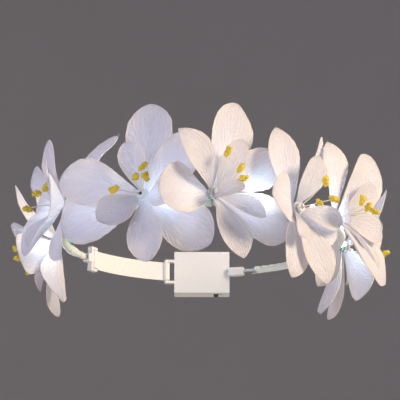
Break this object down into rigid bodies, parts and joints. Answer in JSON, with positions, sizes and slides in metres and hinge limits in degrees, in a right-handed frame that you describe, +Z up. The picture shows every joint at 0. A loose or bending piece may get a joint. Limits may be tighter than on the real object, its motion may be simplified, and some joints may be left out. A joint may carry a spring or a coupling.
{
  "type": "flower crown",
  "caption": "Light-up flower crown: cloth lilies on a taped wire hoop, with an elastic back and a coin-cell battery case.",
  "frame": {"origin": "centre of the head opening, in the plane of the hoop", "axes": "+Z up along the head, the hoop's axis; -Y the wearer's front, where the big flowers are; +X the right of a viewer who faces the wearer"},
  "size_m": [0.2406, 0.2298, 0.1061],
  "materials": {
    "petal_cloth": "fine woven white cloth, stiffened, embossed veins",
    "stamen_gold": "flocked golden anthers on pale filaments",
    "calyx_green": "moulded, satin",
    "button_plastic": "translucent white, serrated rim",
    "steel_wire": "bright drawn wire",
    "florist_tape": "crepe paper tape, waxed, wound in a spiral",
    "enamelled_wire": "clear enamel over copper",
    "lit_bulb": "clear resin bead, lit cool white",
    "elastic": "braided elastic, ribbed lengthwise",
    "white_plastic": "fine moulded texture",
    "black_plastic": "satin",
    "screw_steel": "nickel plated",
    "cell_steel": "bright nickel steel",
    "contact_brass": "sprung strip"
  },
  "bodies": {
    "crown": {"hoop_wire": "steel_wire", "hoop_tape": "florist_tape", "stem_bindings": "florist_tape", "led_lead": "enamelled_wire", "led_bulbs": "lit_bulb", "strap_clip": "white_plastic", "elastic_strap": "elastic", "battery_case": "white_plastic", "coin_cells": "cell_steel", "spring_contact": "contact_brass", "side_contact": "contact_brass", "switch_body": "black_plastic", "centre_buttons": "button_plastic", "flower_1_back_petals": "petal_cloth", "flower_1_front_petals": "petal_cloth", "flower_1_inner_petals": "petal_cloth", "flower_1_stamens": "stamen_gold", "flower_1_calyx": "calyx_green", "flower_2_back_petals": "petal_cloth", "flower_2_front_petals": "petal_cloth", "flower_2_inner_petals": "petal_cloth", "flower_2_stamens": "stamen_gold", "flower_2_calyx": "calyx_green", "flower_3_back_petals": "petal_cloth", "flower_3_front_petals": "petal_cloth", "flower_3_inner_petals": "petal_cloth", "flower_3_stamens": "stamen_gold", "flower_3_calyx": "calyx_green", "flower_4_back_petals": "petal_cloth", "flower_4_front_petals": "petal_cloth", "flower_4_inner_petals": "petal_cloth", "flower_4_stamens": "stamen_gold", "flower_4_calyx": "calyx_green", "flower_5_back_petals": "petal_cloth", "flower_5_front_petals": "petal_cloth", "flower_5_inner_petals": "petal_cloth", "flower_5_stamens": "stamen_gold", "flower_5_calyx": "calyx_green", "flower_6_back_petals": "petal_cloth", "flower_6_front_petals": "petal_cloth", "flower_6_inner_petals": "petal_cloth", "flower_6_stamens": "stamen_gold", "flower_6_calyx": "calyx_green", "flower_7_back_petals": "petal_cloth", "flower_7_front_petals": "petal_cloth", "flower_7_inner_petals": "petal_cloth", "flower_7_stamens": "stamen_gold", "flower_7_calyx": "calyx_green"},
    "cover": {"battery_cover": "white_plastic"},
    "screw": {"cover_screw": "screw_steel"},
    "slider": {"switch_slider": "black_plastic"}
  },
  "joints": [
    {"name": "cover_lift", "type": "slide", "parent": "crown", "child": "cover", "axis": [0, 1, 0], "range_m": [0, 0.015]},
    {"name": "screw_turn", "type": "hinge", "parent": "cover", "child": "screw", "pos_m": [0.011, 0.0982, 0.006], "axis": [0, 1, 0], "continuous": true},
    {"name": "power_switch", "type": "slide", "parent": "crown", "child": "slider", "axis": [1, 0, 0], "range_m": [0, 0.003]}
  ]
}
